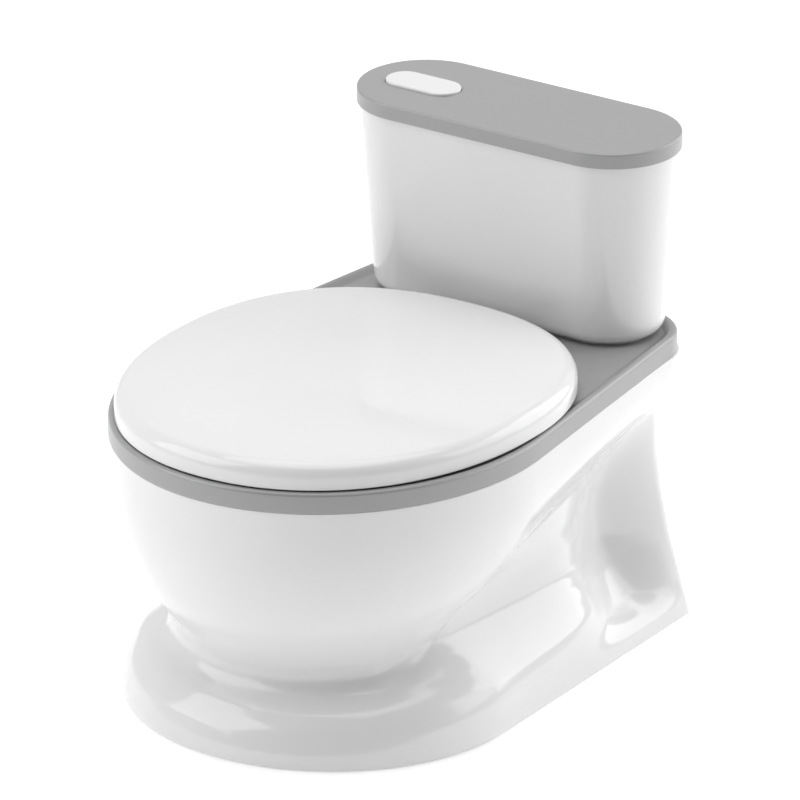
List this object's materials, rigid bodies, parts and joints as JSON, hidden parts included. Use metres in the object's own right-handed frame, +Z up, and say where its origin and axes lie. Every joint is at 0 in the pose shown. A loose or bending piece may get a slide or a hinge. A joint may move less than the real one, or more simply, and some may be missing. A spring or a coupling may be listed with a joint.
{
  "type": "potty training chair",
  "caption": "Child's potty chair shaped as a small toilet: hinged lid, lift-out pot, storage tank with lift-off top and a sprung flush button that works a sound unit.",
  "frame": {"origin": "on the floor, at the middle of the overall box (X and Y)", "axes": "+Z up; front of the seat towards -Y, tank at +Y; +X is the child's left when seated facing -Y"},
  "size_m": [0.2824, 0.4058, 0.3314],
  "materials": {
    "white_shell": "high gloss injection moulded",
    "grey_plastic": "satin injection moulded",
    "white_pot": "smooth satin moulding",
    "button_white": "gloss",
    "white_inner": "fine textured moulding",
    "rubber_grey": "soft moulded rubber",
    "screw_steel": "zinc plated",
    "contact_steel": "nickel plated spring steel",
    "board_green": "solder mask",
    "switch_black": "moulded",
    "battery_jacket": "printed sleeve, no marks"
  },
  "bodies": {
    "base": {"base_shell": "white_shell", "anti_slip_feet": "rubber_grey", "seat_deck": "grey_plastic", "deck_screws": "screw_steel", "hinge_pin_left": "screw_steel", "hinge_pin_right": "screw_steel", "tank_shell": "white_shell", "tank_screws": "screw_steel"},
    "lid": {"lid": "white_shell", "lid_bumpers": "rubber_grey"},
    "pot": {"potty_bowl": "white_pot"},
    "tank_lid": {"tank_lid": "grey_plastic", "module_case": "white_inner", "circuit_board": "board_green", "tact_switch": "switch_black", "speaker": "switch_black", "batteries": "battery_jacket", "battery_contacts": "contact_steel", "battery_door": "white_inner", "battery_door_screw": "screw_steel", "module_screws": "screw_steel"},
    "flush_button": {"flush_button": "button_white", "button_spring": "contact_steel"}
  },
  "joints": [
    {"name": "lid_hinge", "type": "hinge", "parent": "base", "child": "lid", "pos_m": [0, 0.099, 0.2035], "axis": [-1, 0, 0], "range_deg": [0, 90.5]},
    {"name": "pot_lift", "type": "slide", "parent": "base", "child": "pot", "axis": [0, 0, 1], "range_m": [0, 0.012]},
    {"name": "tank_lid_lift", "type": "slide", "parent": "base", "child": "tank_lid", "axis": [0, 0, 1], "range_m": [0, 0.08]},
    {"name": "button_press", "type": "slide", "parent": "tank_lid", "child": "flush_button", "axis": [0, 0, -1], "range_m": [0, 0.003], "stiffness_N_per_m": 600, "springref_m": -0.001, "deforming": ["button_spring"]}
  ]
}
